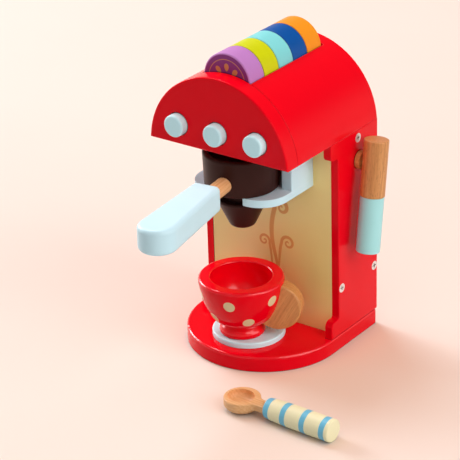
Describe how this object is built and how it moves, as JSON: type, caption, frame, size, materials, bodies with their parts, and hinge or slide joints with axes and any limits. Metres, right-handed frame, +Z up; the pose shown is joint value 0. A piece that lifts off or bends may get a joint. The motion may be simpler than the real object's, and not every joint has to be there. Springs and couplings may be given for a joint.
{
  "type": "toy coffee maker",
  "caption": "Wooden toy espresso maker with a barrel head, lift-out pods, push buttons, sliding filter with paddle handle, turning wand, cup and scoop.",
  "frame": {"origin": "on the underside of the base board, on its centre line, 60 mm ahead of its straight rear edge", "axes": "+Z up; the buttons, the filter's handle and the cup face -Y; the steam wand is on the +X side"},
  "size_m": [0.1827, 0.2144, 0.232],
  "materials": {
    "red_lacquer": "satin lacquer",
    "tan_panel": "matt paint with a printed ornament",
    "ice_blue_paint": "satin paint",
    "pale_blue_paint": "satin paint",
    "brown_lacquer": "satin lacquer",
    "red_spotted_lacquer": "satin lacquer with cream spots",
    "bare_wood": "clear matt varnish, visible grain",
    "inner_wood": "bare, sawn",
    "aqua_paint": "satin paint",
    "striped_cream_paint": "satin paint with pale blue bands",
    "purple_paint": "satin paint with a printed face",
    "yellow_paint": "satin paint",
    "mint_paint": "satin paint",
    "blue_paint": "satin paint",
    "orange_paint": "satin paint",
    "zinc_steel": "bright zinc plating",
    "spring_steel": "bright drawn wire"
  },
  "bodies": {
    "housing": {"base_plate": "red_lacquer", "side_panel_left": "red_lacquer", "side_panel_right": "red_lacquer", "front_board": "tan_panel", "back_board": "red_lacquer", "top_board": "inner_wood", "side_screws": "zinc_steel", "base_screws": "zinc_steel", "head_screws": "zinc_steel", "cradle_screws": "zinc_steel", "head_front_plate": "red_lacquer", "head_shell": "red_lacquer", "head_floor": "red_lacquer", "head_back_plate": "red_lacquer", "pod_tray": "inner_wood", "tray_bearers": "inner_wood", "button_rail": "inner_wood", "cradle_plate": "pale_blue_paint", "cradle_wall_left": "pale_blue_paint", "cradle_wall_right": "pale_blue_paint", "hotplate": "pale_blue_paint", "button_spring_left": "spring_steel", "button_spring_middle": "spring_steel", "button_spring_right": "spring_steel"},
    "filter_slider": {"filter_spout": "brown_lacquer"},
    "filter": {"filter_cup": "brown_lacquer", "handle_dowel": "bare_wood", "handle_paddle": "pale_blue_paint"},
    "wand": {"wand_handle": "bare_wood", "wand_nozzle": "aqua_paint", "wand_peg": "bare_wood", "wand_washer": "zinc_steel", "wand_screw": "zinc_steel"},
    "cup_with_handle": {"cup": "red_spotted_lacquer", "cup_handle": "bare_wood"},
    "scoop": {"scoop_bowl": "bare_wood", "scoop_handle": "striped_cream_paint"},
    "push_button_left": {"button_left": "ice_blue_paint", "button_collar_left": "inner_wood", "button_screw_left": "zinc_steel"},
    "push_button_middle": {"button_middle": "ice_blue_paint", "button_collar_middle": "inner_wood", "button_screw_middle": "zinc_steel"},
    "push_button_right": {"button_right": "ice_blue_paint", "button_collar_right": "inner_wood", "button_screw_right": "zinc_steel"},
    "coffee_pod_purple": {"pod_purple": "purple_paint"},
    "coffee_pod_yellow": {"pod_yellow": "yellow_paint"},
    "coffee_pod_mint": {"pod_mint": "mint_paint"},
    "coffee_pod_blue": {"pod_blue": "blue_paint"},
    "coffee_pod_orange": {"pod_orange": "orange_paint"}
  },
  "joints": [
    {"name": "button_left_press", "type": "slide", "parent": "housing", "child": "push_button_left", "axis": [0, 1, 0], "range_m": [0, 0.004], "stiffness_N_per_m": 200, "springref_m": -0.003, "deforming": ["button_spring_left"]},
    {"name": "button_middle_press", "type": "slide", "parent": "housing", "child": "push_button_middle", "axis": [0, 1, 0], "range_m": [0, 0.004], "stiffness_N_per_m": 200, "springref_m": -0.003, "deforming": ["button_spring_middle"]},
    {"name": "button_right_press", "type": "slide", "parent": "housing", "child": "push_button_right", "axis": [0, 1, 0], "range_m": [0, 0.004], "stiffness_N_per_m": 200, "springref_m": -0.003, "deforming": ["button_spring_right"]},
    {"name": "pod_purple_lift", "type": "slide", "parent": "housing", "child": "coffee_pod_purple", "axis": [0, 0, 1], "range_m": [0, 0.04]},
    {"name": "pod_yellow_lift", "type": "slide", "parent": "housing", "child": "coffee_pod_yellow", "axis": [0, 0, 1], "range_m": [0, 0.04]},
    {"name": "pod_mint_lift", "type": "slide", "parent": "housing", "child": "coffee_pod_mint", "axis": [0, 0, 1], "range_m": [0, 0.04]},
    {"name": "pod_blue_lift", "type": "slide", "parent": "housing", "child": "coffee_pod_blue", "axis": [0, 0, 1], "range_m": [0, 0.04]},
    {"name": "pod_orange_lift", "type": "slide", "parent": "housing", "child": "coffee_pod_orange", "axis": [0, 0, 1], "range_m": [0, 0.04]},
    {"name": "filter_slide", "type": "slide", "parent": "housing", "child": "filter_slider", "axis": [0, -1, 0], "range_m": [0, 0.07]},
    {"name": "filter_swivel", "type": "hinge", "parent": "filter_slider", "child": "filter", "pos_m": [0, -0.025, 0.1402], "axis": [0, 0, 1], "range_deg": [-52.8, 37.2]},
    {"name": "wand_turn", "type": "hinge", "parent": "housing", "child": "wand", "pos_m": [0.07115, 0.0357, 0.1403], "axis": [1, 0, 0], "continuous": true},
    {"name": "cup_draw_out", "type": "slide", "parent": "housing", "child": "cup_with_handle", "axis": [-0.2048, -0.9633, 0.1736], "range_m": [0, 0.08]},
    {"name": "scoop_lift", "type": "slide", "parent": "housing", "child": "scoop", "axis": [0, 0, 1], "range_m": [0, 0.04]}
  ]
}
